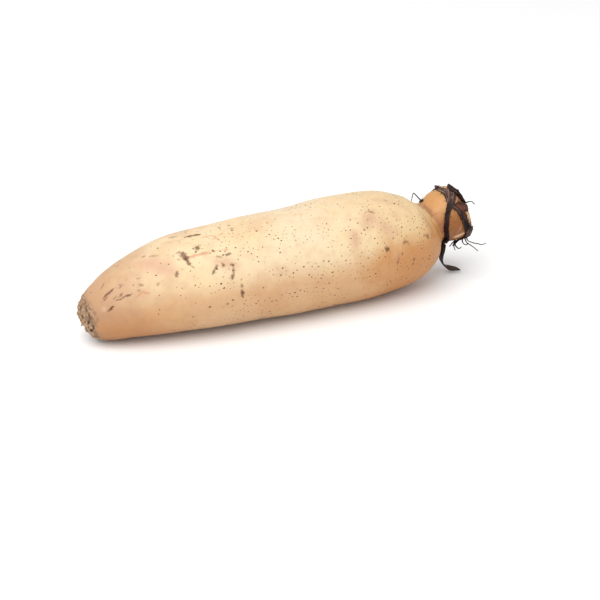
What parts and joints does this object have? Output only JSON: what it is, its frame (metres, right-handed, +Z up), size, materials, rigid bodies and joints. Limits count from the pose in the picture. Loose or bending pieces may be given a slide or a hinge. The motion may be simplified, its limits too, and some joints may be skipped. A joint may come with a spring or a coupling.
{
  "type": "lotus root segment",
  "caption": "Whole lotus root segment: a long swollen body that tapers to a dry brown scar, with a short cut neck at its other end held in dark, stringy leaf sheath.",
  "frame": {"origin": "on the surface the root lies on, under the middle of its bounding box", "axes": "+X along the root from the scar to the cut neck, +Z up, -Y towards the side the picture shows"},
  "size_m": [0.2819, 0.0705, 0.0687],
  "materials": {
    "root_skin": "smooth waxy cream skin, tan below, with small brown specks and streaks",
    "dried_sheath": "dry, dark brown, fibrous leaf sheath and rootlets"
  },
  "bodies": {
    "root": {"root_body": "root_skin", "node_sheath": "dried_sheath"}
  },
  "joints": []
}
